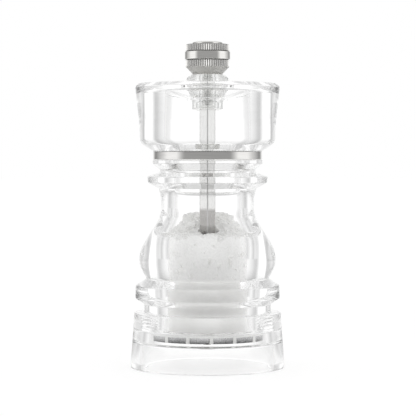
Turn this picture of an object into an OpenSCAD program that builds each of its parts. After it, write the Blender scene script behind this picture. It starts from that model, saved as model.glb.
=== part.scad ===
// Table mill with a clear body. The head turns the square spindle, the spindle
// turns a ceramic cone in a ceramic ring, and the knob on top sets the gap
// between them. Millimetres, +Z up, origin at the centre of the foot.

/* [Base collar] */
// Outer radius of the collar where it stands on the table
collar_foot_r = 29.4; // [28.6:0.1:34]
// Outer radius of the collar at its top edge
collar_top_r = 28.2; // [27:0.1:30]
// Height of the collar
collar_h = 21.2; // [20:0.1:26]
// Wall of the open skirt under the grinder
skirt_wall = 4.0; // [3:0.1:5]
// Height of the open skirt
skirt_h = 9.8; // [9:0.1:11]
// Height of the recess that holds the flange of the grinder
recess_h = 4.4; // [4:0.1:5]
// Radius of the thread on the foot of the body
spigot_r = 17.1; // [16.6:0.1:18]

/* [Body] */
// Radius of the waist above the collar
waist_r = 24.5; // [23:0.1:26]
// Height of the waist
waist_h = 3.2; // [2:0.1:6]
// Radius of the lower flange
flange_r = 27.8; // [26.8:0.1:30]
// Height of the lower flange
flange_h = 9.6; // [8:0.1:12]
// Radius of the groove above the lower flange
groove_r = 23.8; // [22.5:0.1:25]
// Largest radius of the bulb
bulb_r = 26.2; // [25.2:0.1:28]
// Height from the lower flange to the widest place of the bulb
bulb_low_h = 7.6; // [6:0.1:10]
// Height from the widest place of the bulb to the neck
bulb_top_h = 20.0; // [16:0.5:28]
// Smallest radius of the neck
neck_r = 17.8; // [17:0.1:18.5]
// Height from the narrowest place of the neck to the disc
neck_h = 7.1; // [5:0.1:10]
// Radius of the disc below the crown
disc_r = 23.1; // [22:0.1:25]
// Height of the disc
disc_h = 6.0; // [5:0.1:8]
// Radius of the crown under the metal ring
crown_r = 21.2; // [20.5:0.1:22.5]
// Height of the crown
crown_h = 5.1; // [4:0.1:7]
// Radius of the lip that centres the head
lip_r = 16.8; // [16.2:0.1:17.4]
// Height of the lip above the crown
lip_h = 6.7; // [5:0.1:9]
// Radius of the bore in the bulb
bore_r = 15.4; // [15:0.1:15.8]
// Radius of the bore in the neck
throat_r = 12.9; // [11.5:0.1:13.5]
// Height of the step between the two bores
bore_step_h = 6.8; // [4:0.1:9]

/* [Metal ring] */
// Outer radius of the ring
ring_r = 21.0; // [20:0.1:22]
// Height of the ring
ring_h = 3.2; // [2:0.1:5]

/* [Head] */
// Outer radius of the head above its rounded foot
head_low_r = 25.9; // [24.5:0.1:27]
// Outer radius of the head at its rim
head_rim_r = 27.8; // [26.5:0.1:30]
// Height of the head
head_h = 26.4; // [24:0.1:32]
// Depth of the dish in the top
dish_depth = 4.3; // [3:0.1:6]
// Thickness of the dished top
plate_t = 1.5; // [1.2:0.1:2.5]
// Radius of the cavity at its ceiling
ceiling_r = 16.6; // [15.5:0.1:17]

/* [Drive bush] */
// Radius of the bush
bush_r = 6.05; // [5.6:0.05:6.6]
// Length of the bush below the top plate
bush_drop = 3.9; // [3.2:0.1:8]
// Height of the trumpet between the top plate and the bush's flange
trumpet_h = 3.8; // [2.5:0.1:5]
// Radius of the bush's domed flange
dome_r = 8.1; // [7.6:0.1:9]
// Height of the domed flange
dome_h = 3.5; // [2.5:0.1:5]

/* [Knob] */
// Radius over the knurled teeth
knurl_r = 8.45; // [8:0.05:9.5]
// Depth of the knurled teeth
knurl_depth = 0.35; // [0.2:0.05:0.6]
// Number of teeth round the knob
knurl_count = 60; // [40:1:72]
// Radius of the smooth band
band_r = 8.8; // [8.5:0.05:10]
// Height of the smooth band
band_h = 3.1; // [2:0.1:5]
// Height of each knurled zone
knurl_h = 2.8; // [2:0.1:4]
// Height of the rounded underside
knob_cone_h = 2.8; // [2:0.1:4]
// Radius of the knob's lower face
knob_foot_r = 5.7; // [5.4:0.1:6.5]
// Height of the domed cap
cap_h = 1.1; // [0.6:0.1:2]
// Outer radius of the threaded insert
insert_r = 4.1; // [3.6:0.1:4.3]

/* [Spindle] */
// Side of the square spindle
spindle_side = 4.4; // [4:0.1:4.6]
// Flat cut off each edge of the spindle
spindle_chamfer = 0.12; // [0.08:0.01:0.2]
// Radius of the threaded end
rod_r = 2.0; // [1.6:0.1:2]
// Length of the spindle below the grinding cone
spindle_tail = 2.5; // [2:0.1:3.2]

/* [Grinder] */
// Outer radius of the flange of the housing
housing_r = 21.4; // [20.5:0.1:22]
// Thickness of the flange of the housing
housing_flange_t = 1.2; // [1:0.1:1.6]
// Length of the housing's tube above its flange
tube_len = 18.0; // [17:0.1:22]
// Wall of the housing's tube
tube_wall = 2.0; // [1.6:0.1:2.4]
// Number of castellations under the flange
castle_count = 16; // [12:1:20]
// Width of one castellation
castle_w = 1.3; // [1:0.1:2.4]
// Outer radius of the ceramic ring
stator_r = 13.2; // [12.9:0.05:13.2]
// Height of the ceramic ring
stator_h = 7.2; // [6.8:0.1:8]
// Radius of the ceramic ring where it grinds finest
stator_bite_r = 8.6; // [8.2:0.1:9]
// Gap between cone and ring, across the grinding faces
grind_gap = 0.65; // [0.6:0.05:0.9]
// Half angle of the grinding faces
grind_angle = 32; // [28:1:34]
// Number of fine teeth on the cone and in the ring
fine_teeth = 28; // [20:1:36]
// Number of coarse teeth on the cone and in the ring
coarse_teeth = 7; // [5:1:9]
// Depth of the fine teeth
tooth_depth = 0.6; // [0.4:0.05:0.8]
// Number of arms of the spider
arm_count = 3; // [3:1:4]
// Thickness of the arms of the spider
arm_t = 1.8; // [1.4:0.1:2.4]
// Radius of the spider's hub
hub_r = 5.2; // [5:0.1:5.8]
// Wire of the spring
wire_d = 0.8; // [0.6:0.05:0.9]
// Turns of the spring
spring_turns = 5; // [4:0.5:6]

/* [Filling] */
// Height of the salt above the grinder
salt_h = 17.0; // [12:0.5:26]
// How much higher the salt lies against the back wall than in front
salt_heap_h = 12.0; // [0:0.5:13]
// Height of the lumps on top of the salt
salt_lump_h = 1.6; // [0.5:0.1:2.5]

/* [Clearances] */
// Gap round a pressed or screwed piece
fit_gap = 0.1; // [0.05:0.01:0.15]
// Gap round a piece that turns or slides in another
run_gap = 0.08; // [0.05:0.01:0.1]
// Gap between pieces that pass each other freely
free_gap = 0.3; // [0.25:0.01:0.4]
// How far the knob can draw the spindle up from its middle setting
fine_travel = 0.7; // [0.4:0.1:0.7]

/* [Hidden] */
$fn = 96;
eps = 0.01;

// Levels from the table up
recess_top_z = skirt_h + recess_h;
flange_z = collar_h + waist_h;
groove_z = flange_z + flange_h;
bulb_z = groove_z + bulb_low_h;
neck_z = bulb_z + bulb_top_h;
bore_step_z = groove_z + 0.83 * (neck_z - groove_z);
disc_z = neck_z + neck_h;
crown_z = disc_z + disc_h;
crown_top_z = crown_z + crown_h;
lip_top_z = crown_top_z + lip_h;
head_z = crown_top_z + ring_h;
head_top_z = head_z + head_h;
plate_top_z = head_top_z - dish_depth;
plate_low_z = plate_top_z - plate_t;
bush_low_z = plate_low_z - bush_drop;
dome_z = plate_top_z + trumpet_h;
dome_top_z = dome_z + dome_h;
knob_z = dome_top_z + 0.2;
knurl_low_z = knob_z + knob_cone_h;
band_z = knurl_low_z + knurl_h;
knurl_top_z = band_z + band_h;
cap_z = knurl_top_z + knurl_h;
knob_top_z = cap_z + cap_h;

// Grinder levels: the ring stands on a ledge, the spider stands on the ring
ledge_z = skirt_h + 0.8;
ledge_t = 1.2;
castle_low_z = skirt_h + 1.0;
castle_t = 1.4;
stator_z = ledge_z + ledge_t;
stator_top_z = stator_z + stator_h;
tube_top_z = recess_top_z + tube_len;
spider_top_z = tube_top_z - 0.4;
hub_h = 3.3;
hub_z = spider_top_z - hub_h;
bite_z = stator_z + stator_h * 0.53;
rotor_z = stator_z - 0.9;
rotor_h = stator_h + 1.4;
core_top_t = 0.8;
core_top_z = rotor_z + rotor_h + core_top_t;
washer_t = 0.6;
clip_t = 0.6;
spring_top_z = hub_z - washer_t;

// Radii that follow from the fits
tube_r = bore_r - fit_gap / 2;
tube_in_r = tube_r - tube_wall;
sleeve_wall = 1.2;
sleeve_r = tube_in_r - fit_gap;
ledge_in_r = sleeve_r - 1.6;
castle_in_r = housing_r - 0.2 - castle_t;
foot_ring_r = housing_r - free_gap;
foot_ring_w = 2.6;
spindle_corner_r = norm([spindle_side / 2, spindle_side / 2 - spindle_chamfer]);
socket_side = spindle_side + 2 * fit_gap;
pad_t = 1.0;
pad_r = 4.9;
clip_groove_r = 1.5;
rod_hole_r = rod_r + free_gap;
core_wall = 1.3;
core_r = spindle_corner_r + core_wall;
washer_lap = 1.3;
washer_r = core_r + washer_lap;
clip_r = 4.2;
clip_mouth = 2.4;
clip_eye_r = 0.7;
spring_r = spindle_corner_r + free_gap + wire_d / 2 + 0.3;
insert_bore_r = rod_r + run_gap;
head_cavity_r = lip_r + free_gap;
grind_slope = tan(grind_angle);
stator_foot_r = stator_bite_r + (bite_z - stator_z) * grind_slope;
rotor_shift = grind_gap / cos(grind_angle);

// Corners round the heap of salt, and how far the grinder draws its middle down
salt_sectors = 12;
salt_dip = 1.4;

function unit(v) = v / norm(v);

function rotated(p, a) = [p[0] * cos(a) - p[1] * sin(a), p[0] * sin(a) + p[1] * cos(a)];

// Points of the arc that rounds corner b, which comes between a and c
function corner_arc(a, b, c, steps = 6) =
    let (q = [b[0], b[1]], u = unit([a[0], a[1]] - q), w = unit([c[0], c[1]] - q))
    let (half = acos(u * w) / 2)
    b[2] == 0 || half > 89 ? [q] :
    let (reach = b[2] / tan(half), centre = q + unit(u + w) * b[2] / sin(half))
    let (p0 = q + u * reach - centre, p1 = q + w * reach - centre)
    let (from = atan2(p0[1], p0[0]), turn = atan2(p1[1], p1[0]) - from)
    let (sweep = turn > 180 ? turn - 360 : turn < -180 ? turn + 360 : turn)
    [for (i = [0:steps]) centre + b[2] * [cos(from + sweep * i / steps), sin(from + sweep * i / steps)]];

// Outline with rounded corners, from a list of [radius, height, corner radius]
function rounded(corners) =
    let (n = len(corners))
    [for (i = [0:n - 1]) each corner_arc(corners[(i + n - 1) % n], corners[i], corners[(i + 1) % n])];

// Solid of revolution from a list of [radius, height, corner radius]
module turned(corners) {
    rotate_extrude($fn = 180) polygon(rounded(corners));
}

// Corners of a curve sampled from start to stop, none of them rounded
function curve(f_points) = [for (p = f_points) [p[0], p[1], 0]];

// Ring between two radii
module ring(outer, inner, low, high) {
    turned([[inner, low, 0], [outer, low, 0], [outer, high, 0], [inner, high, 0]]);
}

// Square bar on the axis, with an edge to the front
module square_bar(side, low, high) {
    translate([0, 0, low]) rotate([0, 0, 45])
        translate([-side / 2, -side / 2, 0]) cube([side, side, high - low]);
}

// Collar that screws up the foot of the body and stands on the table
module base_collar() {
    skirt_r = collar_foot_r - skirt_wall;
    recess_r = min(housing_r + 0.5, skirt_r - 0.5);
    color([0.93, 0.95, 0.95, 0.4]) turned([
        [spigot_r + fit_gap, recess_top_z, 0], [recess_r, recess_top_z, 0.5],
        [recess_r, skirt_h, 0.3], [skirt_r, skirt_h, 0.5], [skirt_r, 0, 0.4],
        [collar_foot_r, 0, 0.6], [collar_foot_r, 2.6, 12], [collar_top_r, collar_h, 0.5],
        [spigot_r + fit_gap, collar_h, 0.2]]);
}

// Clear body: threaded foot, waist, flange, bulb, neck, disc, crown and lip
module body_shell() {
    bulb_drop = bulb_r - groove_r;
    bulb_low = [for (t = [0:0.125:1])
        [groove_r + bulb_drop * sin(90 * t), groove_z + 0.6 + (bulb_low_h - 0.6) * t]];
    bulb_high = [for (t = [0.0625:0.0625:0.9375])
        [neck_r + (bulb_r - neck_r) * (1 + cos(180 * t)) / 2, bulb_z + bulb_top_h * t]];
    neck_flare = 1.0;
    neck = [for (t = [0:0.25:1]) [neck_r + neck_flare * t * t, neck_z + neck_h * t]];
    color([0.93, 0.95, 0.95, 0.4]) turned(concat(
        [[bore_r, recess_top_z, 0.3], [spigot_r, recess_top_z, 0.5], [spigot_r, collar_h, 0],
         [waist_r, collar_h, 0.3], [waist_r, flange_z, 0.5], [flange_r, flange_z + 2.3, 0.7],
         [flange_r - 0.25, groove_z - 2.5, 0.6], [groove_r, groove_z, 0.4]],
        curve(bulb_low), curve(bulb_high), curve(neck),
        [[disc_r - 0.2, disc_z + 2.2, 0.6], [disc_r, disc_z + 4.6, 0.5],
         [neck_r + 1.3, crown_z, 0.4], [neck_r + 0.4, crown_z + 0.8, 0.4],
         [neck_r + 1.0, crown_z + 1.5, 0.4], [crown_r, crown_z + 3.5, 0.4],
         [crown_r, crown_top_z, 0.4], [lip_r, crown_top_z, 0], [lip_r, lip_top_z, 0.5],
         [throat_r, lip_top_z, 0.5], [throat_r, bore_step_z, 3],
         [bore_r, bore_step_z - bore_step_h, 3]]));
}

// Metal ring that lies on the crown round the lip
module neck_ring() {
    color([0.78, 0.78, 0.77]) turned([
        [lip_r + fit_gap, crown_top_z, 0], [ring_r, crown_top_z, 0.25],
        [ring_r, head_z, 0.25], [lip_r + fit_gap, head_z, 0]]);
}

// Clear head: a deep cup upside down, with a dished top
module head_shell() {
    color([0.93, 0.95, 0.95, 0.4]) turned([
        [head_cavity_r, head_z, 0.2], [ring_r - 0.2, head_z, 0.2],
        [head_low_r, head_z + 3.1, 3], [head_low_r + 0.45, head_z + 12, 30],
        [head_rim_r, head_top_z - 1.5, 1], [head_rim_r - 1.6, head_top_z - 0.3, 1.2],
        [head_rim_r - 6.4, head_top_z, 6], [ceiling_r - 2, head_top_z - 1.2, 6],
        [bush_r + 1.6, plate_top_z, 1], [bush_r + fit_gap, plate_top_z, 0],
        [bush_r + fit_gap, plate_low_z, 0], [bush_r + 1.2, plate_low_z, 1],
        [ceiling_r - 1, head_top_z - 2.4, 1], [ceiling_r, head_top_z - 2.9, 1]]);
}

// Clear bush: domed flange, trumpet, and a block with the square socket
module drive_bush() {
    socket_top_z = plate_low_z - 0.6;
    color([0.85, 0.87, 0.87, 0.6]) difference() {
        turned([
            [0, bush_low_z, 0], [bush_r, bush_low_z, 0.2], [bush_r, plate_top_z, 0],
            [bush_r + 0.5, plate_top_z, 0.15], [bush_r + 0.7, plate_top_z + 1.4, 4],
            [dome_r - 0.5, dome_z, 0.3], [dome_r, dome_z, 0.2],
            [dome_r - 0.1, dome_z + dome_h * 0.62, 1.2], [dome_r - 1.6, dome_top_z, 0.6],
            [0, dome_top_z, 0]]);
        square_bar(socket_side, bush_low_z - 1, socket_top_z);
        translate([0, 0, bush_low_z]) cylinder(h = dome_top_z - bush_low_z + 1, r = rod_hole_r);
    }
}

// One knurled zone: a toothed disc with its edges turned down
module knurled_zone(low, high) {
    outline = [for (i = [0:2 * knurl_count - 1])
        let (r = knurl_r - (i % 2) * knurl_depth, a = 180 * i / knurl_count)
        [r * cos(a), r * sin(a)]];
    edge = knurl_depth * 0.9;
    intersection() {
        translate([0, 0, low]) linear_extrude(high - low) polygon(outline);
        turned([
            [0, low - 1, 0], [knurl_r - edge, low - 1, 0], [knurl_r - edge, low, 0],
            [knurl_r + 0.1, low + edge, 0], [knurl_r + 0.1, high - edge, 0],
            [knurl_r - edge, high, 0], [knurl_r - edge, high + 1, 0], [0, high + 1, 0]]);
    }
}

// Adjusting knob: rounded underside, two knurled zones, smooth band, domed cap
module knob() {
    root_r = knurl_r - knurl_depth - 0.15;
    groove = 0.2;
    color([0.62, 0.62, 0.6]) difference() {
        union() {
            turned([
                [0, knob_z, 0], [knob_foot_r, knob_z, 0.2], [root_r, knurl_low_z - 0.4, 1.6],
                [root_r, band_z, 0], [band_r, band_z, 0.3], [band_r, knurl_top_z, 0.3],
                [root_r, knurl_top_z, 0], [root_r, cap_z, 0.2], [6.2, cap_z, 0],
                [6.0, cap_z + cap_h * 0.4, 0.3], [4.4, knob_top_z, 1], [0, knob_top_z, 0]]);
            knurled_zone(knurl_low_z, band_z - groove);
            knurled_zone(knurl_top_z + groove, cap_z - groove);
        }
        translate([0, 0, knob_z - 1]) cylinder(h = cap_z - knob_z, r = insert_r + fit_gap / 2);
        translate([0, 0, knob_z - 1]) cylinder(h = 1 + pad_t - 0.2, r = pad_r + fit_gap / 2);
    }
}

// Threaded brass insert that the spindle screws into
module knob_insert() {
    low = knob_z + pad_t - 0.2 + 0.1;
    color([0.72, 0.6, 0.3]) difference() {
        turned([
            [0, low, 0], [insert_r, low, 0.3], [insert_r, cap_z - 1 - fit_gap, 0.3],
            [0, cap_z - 1 - fit_gap, 0]]);
        translate([0, 0, low - 1]) cylinder(h = cap_z - low + 2, r = insert_bore_r);
    }
}

// Nylon pad that the knob glides on
module knob_pad() {
    color([0.9, 0.9, 0.86]) ring(pad_r, rod_hole_r, dome_top_z, dome_top_z + pad_t);
}

// Square spindle with a round groove for the clip and a threaded end
module spindle() {
    foot_z = rotor_z - spindle_tail;
    clip_z = rotor_z - washer_t - clip_t;
    square_top_z = plate_low_z - 0.6 - fine_travel - 0.1;
    half = spindle_side / 2;
    cut = half - spindle_chamfer;
    outline = [for (i = [0:3]) each [rotated([half, -cut], 90 * i), rotated([half, cut], 90 * i)]];
    color([0.7, 0.69, 0.68]) {
        difference() {
            intersection() {
                translate([0, 0, foot_z]) rotate([0, 0, 45])
                    linear_extrude(square_top_z - foot_z) polygon(outline);
                turned([
                    [0, foot_z, 0], [1.7, foot_z, 0], [spindle_side, foot_z + 1.4, 0],
                    [spindle_side, square_top_z - 1, 0], [rod_r + 0.1, square_top_z, 0],
                    [0, square_top_z, 0]]);
            }
            ring(spindle_side, clip_groove_r, clip_z, clip_z + clip_t);
        }
        translate([0, 0, square_top_z - 0.5])
            cylinder(h = cap_z - 2.4 - square_top_z + 0.5, r = rod_r);
    }
}

// Spring clip in the groove at the lower end of the spindle
module spindle_clip() {
    low = rotor_z - washer_t - clip_t;
    color([0.35, 0.35, 0.36]) difference() {
        ring(clip_r, clip_groove_r, low, low + clip_t);
        translate([0, -clip_mouth / 2, low - 1]) cube([clip_r + 1, clip_mouth, clip_t + 2]);
        for (side = [-1, 1]) rotate([0, 0, side * 115])
            translate([(clip_r + clip_groove_r) / 2, 0, low - 1])
                cylinder(h = clip_t + 2, r = clip_eye_r);
    }
}

// Steel washer between the clip and the grinding cone
module rotor_washer() {
    color([0.75, 0.75, 0.74]) difference() {
        ring(washer_r, 1, rotor_z - washer_t, rotor_z);
        square_bar(socket_side, rotor_z - washer_t - 1, rotor_z + 1);
    }
}

// Plastic core that drives the ceramic cone from the square spindle
module rotor_core() {
    top_z = rotor_z + rotor_h;
    color([0.9, 0.9, 0.88]) difference() {
        union() {
            turned([
                [0, rotor_z, 0], [core_r, rotor_z, 0], [core_r, top_z, 0],
                [spring_r + wire_d, top_z, 0], [spring_r + wire_d, core_top_z, 0.2], [0, core_top_z, 0]]);
            core_keys(0);
        }
        square_bar(socket_side, rotor_z - 1, core_top_z + 1);
    }
}

// Four keys between the core and the ceramic cone, grown by a gap for their slots
module core_keys(gap) {
    for (a = [0:90:270]) rotate([0, 0, a])
        translate([0, -0.6 - gap, rotor_z - gap])
            cube([core_r + 0.6 + gap, 1.2 + 2 * gap, rotor_h - 2.5 + 2 * gap]);
}

// V-shaped cutters laid along a cone, each turned a little about the cone's normal
module tooth_cutters(count, radius, low, length, lean, depth, width, skew) {
    for (i = [0:count - 1]) rotate([0, 0, 360 * i / count])
        translate([radius, 0, low]) rotate([0, lean, 0]) rotate([skew, 0, 0])
            translate([0, 0, -length / 2]) linear_extrude(length)
                polygon([[-depth, 0], [depth, width], [depth, -width]]);
}

// Ceramic cone: coarse teeth above that draw the grains in, fine teeth below
module rotor() {
    bite_r = stator_bite_r - rotor_shift;
    foot_r = bite_r + (bite_z - rotor_z) * grind_slope;
    top_z = rotor_z + rotor_h;
    top_r = core_r + 1.0;
    mid_z = (rotor_z + bite_z) / 2;
    coarse_lean = atan((bite_r - top_r) / (top_z - bite_z));
    color([0.93, 0.93, 0.9]) difference() {
        turned([
            [0, rotor_z, 0], [foot_r - 0.4, rotor_z, 0], [foot_r - 0.2, rotor_z + 0.3, 0],
            [bite_r, bite_z, 0], [top_r, top_z, 0], [0, top_z, 0]]);
        translate([0, 0, rotor_z - 1]) cylinder(h = rotor_h + 2, r = core_r + fit_gap);
        core_keys(fit_gap);
        tooth_cutters(fine_teeth, (bite_r + foot_r) / 2, mid_z, rotor_h * 1.1, -grind_angle,
            tooth_depth, 0.55, 12);
        tooth_cutters(coarse_teeth, (bite_r + top_r) / 2, (bite_z + top_z) / 2, rotor_h * 1.1,
            -coarse_lean, 1.1, 1.2, 20);
    }
}

// Ceramic ring: a feed funnel above and a grinding cone below, both toothed
module stator() {
    feed_r = stator_r - 1.5;
    feed_lean = atan((feed_r - stator_bite_r) / (stator_top_z - bite_z));
    color([0.95, 0.95, 0.93]) difference() {
        turned([
            [stator_foot_r, stator_z, 0], [stator_r, stator_z, 0.3], [stator_r, stator_top_z, 0.3],
            [feed_r, stator_top_z, 0], [stator_bite_r, bite_z, 0]]);
        tooth_cutters(fine_teeth, (stator_bite_r + stator_foot_r) / 2, (stator_z + bite_z) / 2,
            stator_h * 0.9, -grind_angle, -tooth_depth, 0.45, -12);
        tooth_cutters(coarse_teeth, (stator_bite_r + feed_r) / 2, (stator_top_z + bite_z) / 2,
            stator_h * 0.9, feed_lean, -0.8, 1.1, -20);
    }
}

// Housing: tube up the bore, flange under the collar, castellations under that
module grinder_housing() {
    color([0.92, 0.92, 0.9]) difference() {
        union() {
            turned([
                [ledge_in_r, ledge_z, 0.2], [tube_r - 0.6, ledge_z, 0.5],
                [tube_r - 0.2, recess_top_z - housing_flange_t, 0.4],
                [housing_r, recess_top_z - housing_flange_t, 0.2], [housing_r, recess_top_z, 0.2],
                [tube_r, recess_top_z, 0], [tube_r, tube_top_z, 0.3], [tube_in_r, tube_top_z, 0.3],
                [tube_in_r, stator_z, 0], [ledge_in_r, stator_z, 0]]);
            castellations(0);
        }
        spider_barbs(fit_gap);
    }
}

// Castellations under the flange, grown by a gap for the slots of the ring between them
module castellations(gap) {
    reach = gap > 0 ? 1 : 0;
    low = castle_low_z - reach;
    high = recess_top_z - housing_flange_t + reach + eps;
    for (i = [0:castle_count - 1]) rotate([0, 0, 360 * (i + 1 / 6) / castle_count])
        translate([castle_in_r - gap, -castle_w / 2 - gap, low])
            cube([castle_t + reach, castle_w + 2 * gap, high - low]);
}

// Steel ring that weights the foot, pressed up between the castellations
module foot_ring() {
    high = recess_top_z - housing_flange_t;
    in_r = foot_ring_r - foot_ring_w;
    color([0.33, 0.33, 0.34]) difference() {
        turned([
            [in_r, castle_low_z, 0.3], [foot_ring_r, castle_low_z, 0.3],
            [foot_ring_r, high, 0], [in_r, high, 0]]);
        castellations(fit_gap);
    }
}

// Barbs that snap the spider into windows in the housing, grown by a gap for the windows
module spider_barbs(gap) {
    barb_h = 1.6;
    for (i = [0:arm_count - 1]) rotate([0, 0, 90 + 360 * i / arm_count])
        translate([sleeve_r - 0.6, -1.5 - gap, spider_top_z - 4 - gap])
            cube([1.7 + gap, 3 + 2 * gap, barb_h + 2 * gap]);
}

// Spider: sleeve that holds the ring down, arms, and a hub that guides the spindle
module spider() {
    color([0.9, 0.9, 0.88]) difference() {
        union() {
            turned([
                [sleeve_r - sleeve_wall, stator_top_z, 0], [sleeve_r, stator_top_z, 0],
                [sleeve_r, spider_top_z, 0.3], [sleeve_r - sleeve_wall, spider_top_z, 0.3]]);
            for (i = [0:arm_count - 1]) rotate([0, 0, 90 + 360 * i / arm_count])
                translate([0, -arm_t / 2, hub_z + 0.3])
                    cube([sleeve_r - 0.2, arm_t, hub_h - 0.6]);
            spider_barbs(0);
            translate([0, 0, hub_z]) cylinder(h = hub_h, r = hub_r);
        }
        translate([0, 0, hub_z - 1]) cylinder(h = hub_h + 2, r = spindle_corner_r + run_gap);
    }
}

// Steel washer between the spring and the hub, turned by the spindle
module spring_washer() {
    color([0.75, 0.75, 0.74]) difference() {
        ring(spring_r + wire_d, 1, spring_top_z, hub_z);
        square_bar(socket_side, spring_top_z - 1, hub_z + 1);
    }
}

// Height of the wire's centre: closed turns at both ends, open turns between them
function spring_height(turn, length) =
    let (close = wire_d + 0.04, open = (length - 2 * close) / (spring_turns - 2))
    turn < 1 ? turn * close :
    turn > spring_turns - 1 ? length - (spring_turns - turn) * close :
    close + (turn - 1) * open;

// Coil spring that pushes the cone down, swept along its helix
module spring() {
    sides = 6;
    steps = 20;
    rings = ceil(spring_turns * steps);
    low = core_top_z + wire_d / 2 + 0.02;
    length = spring_top_z - wire_d / 2 - 0.02 - low;
    points = [for (i = [0:rings], j = [0:sides - 1])
        let (turn = i / steps, a = 360 * turn, b = 360 * j / sides)
        let (r = spring_r + wire_d / 2 * cos(b))
        [r * cos(a), r * sin(a), low + spring_height(turn, length) + wire_d / 2 * sin(b)]];
    sides_faces = [for (i = [0:rings - 1], j = [0:sides - 1])
        let (k = (j + 1) % sides, p = i * sides, q = p + sides)
        each [[p + j, p + k, q + k], [p + j, q + k, q + j]]];
    start = [for (j = [0:sides - 1]) sides - 1 - j];
    end = [for (j = [0:sides - 1]) rings * sides + j];
    color([0.6, 0.6, 0.6]) polyhedron(points, concat(sides_faces, [start], [end]));
}

// Height of the salt at a corner of its top: heaped behind, drawn down in the middle, and lumpy
function salt_level(i, t) =
    let (heap = salt_heap_h * t * max(0, sin(360 * i / salt_sectors)))
    let (lump = salt_lump_h / 2 * (sin(150 * i + 200 * t) - 1))
    tube_top_z + salt_h + heap + lump - salt_dip * (1 - t);

// Block with a lumpy top, one corner on the axis and the rest in rings round it
module lumpy_block(radius) {
    rings = [0.4, 0.7, 1.1];
    n = salt_sectors;
    last = len(rings) - 1;
    top = [for (t = rings, i = [0:n - 1])
        [radius * t * cos(360 * i / n), radius * t * sin(360 * i / n), salt_level(i, t)]];
    foot = [for (i = [0:n - 1]) [top[last * n + i][0], top[last * n + i][1], tube_top_z]];
    crest = (last + 2) * n;
    top_faces = [for (j = [0:last - 1], i = [0:n - 1])
        let (k = (i + 1) % n, p = j * n, q = p + n)
        each [[p + k, p + i, q + i], [p + k, q + i, q + k]]];
    middle = [for (i = [0:n - 1]) [crest, i, (i + 1) % n]];
    walls = [for (i = [0:n - 1])
        let (k = (i + 1) % n, p = last * n, q = p + n)
        each [[p + k, p + i, q + i], [p + k, q + i, q + k]]];
    under = [for (i = [0:n - 1]) (last + 1) * n + i];
    polyhedron(concat(top, foot, [[0, 0, salt_level(0, 0)]]), concat(top_faces, middle, walls, [under]));
}

// Salt in the bore above the grinder, up into the throat behind, open round the spindle
module salt_fill() {
    outer = bore_r - free_gap;
    upper = throat_r - free_gap;
    inner = spindle_corner_r + free_gap;
    high = bore_step_z + salt_h + salt_heap_h;
    color([0.98, 0.98, 0.97]) intersection() {
        turned([
            [inner, tube_top_z, 0], [outer, tube_top_z, 0], [outer, bore_step_z - bore_step_h, 0],
            [upper, bore_step_z, 0], [upper, high, 0], [inner, high, 0]]);
        lumpy_block(outer);
    }
}

base_collar();
body_shell();
neck_ring();
head_shell();
drive_bush();
knob();
knob_insert();
knob_pad();
spindle();
spindle_clip();
rotor_washer();
rotor_core();
rotor();
stator();
grinder_housing();
foot_ring();
spider();
spring_washer();
spring();
salt_fill();
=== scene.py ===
"""Looks of a clear table mill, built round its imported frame.

Lengths in the classes are millimetres, and meshes are made in metres.
"""
import logging
import math
import random
from collections.abc import Callable, Iterable, Sequence
from dataclasses import dataclass
from enum import Enum
from functools import cache, cached_property

import bmesh
import bpy
from bmesh.types import BMesh, BMVert
from bpy.types import ID, Material, Mesh, Node, NodeSocket, NodeTree, Object
from mathutils import Matrix, Vector
from mathutils.bvhtree import BVHTree


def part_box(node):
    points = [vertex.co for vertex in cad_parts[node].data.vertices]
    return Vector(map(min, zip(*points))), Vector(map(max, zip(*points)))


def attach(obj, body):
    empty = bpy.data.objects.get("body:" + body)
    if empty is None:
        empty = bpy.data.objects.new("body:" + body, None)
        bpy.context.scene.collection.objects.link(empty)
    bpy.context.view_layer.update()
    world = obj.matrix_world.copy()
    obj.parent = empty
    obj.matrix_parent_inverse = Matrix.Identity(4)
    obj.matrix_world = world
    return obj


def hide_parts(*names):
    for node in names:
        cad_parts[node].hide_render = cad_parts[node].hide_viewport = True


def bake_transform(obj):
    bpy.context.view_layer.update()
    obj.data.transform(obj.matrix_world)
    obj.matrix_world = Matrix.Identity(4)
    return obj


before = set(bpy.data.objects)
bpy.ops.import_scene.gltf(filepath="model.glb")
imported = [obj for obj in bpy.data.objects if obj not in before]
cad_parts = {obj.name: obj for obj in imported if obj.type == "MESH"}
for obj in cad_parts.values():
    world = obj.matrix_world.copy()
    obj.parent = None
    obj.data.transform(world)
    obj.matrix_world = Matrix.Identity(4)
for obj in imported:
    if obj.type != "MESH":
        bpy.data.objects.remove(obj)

LOG = logging.getLogger("mill")
MM = 0.001
# Distances below which points merge, in a finished mesh and where the parts of a spun one meet
WELD_MM = 1e-5
SEAM_MM = 1e-4
NEARLY_STRAIGHT = math.radians(89.5)
SHARP_DEG = 35.0
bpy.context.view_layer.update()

# Radius, height and rounding of an outline's corner, and radius and height of a point on it
Corner = tuple[float, float, float]
Point = tuple[float, float]
# Move away from the axis, for a radius, a height and an angle
Push = Callable[[float, float, float], float]
# Where something starts and ends, or a place on a ramp and its value
Span = tuple[float, float]
Stops = tuple[Span, ...]
Source = Node | NodeSocket


class Group(Enum):
    """The bodies that pieces ride on."""

    MILL = "mill_body"
    WASHER = "turning_washer"
    HEAD = "head"
    KNOB = "knob"
    SPINDLE = "spindle"


@cache
def level(node: str, top: bool) -> float:
    """Height in millimetres of a CAD node's upper face, or else of its lower one."""
    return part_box(node)[1 if top else 0][2] / MM


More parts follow.
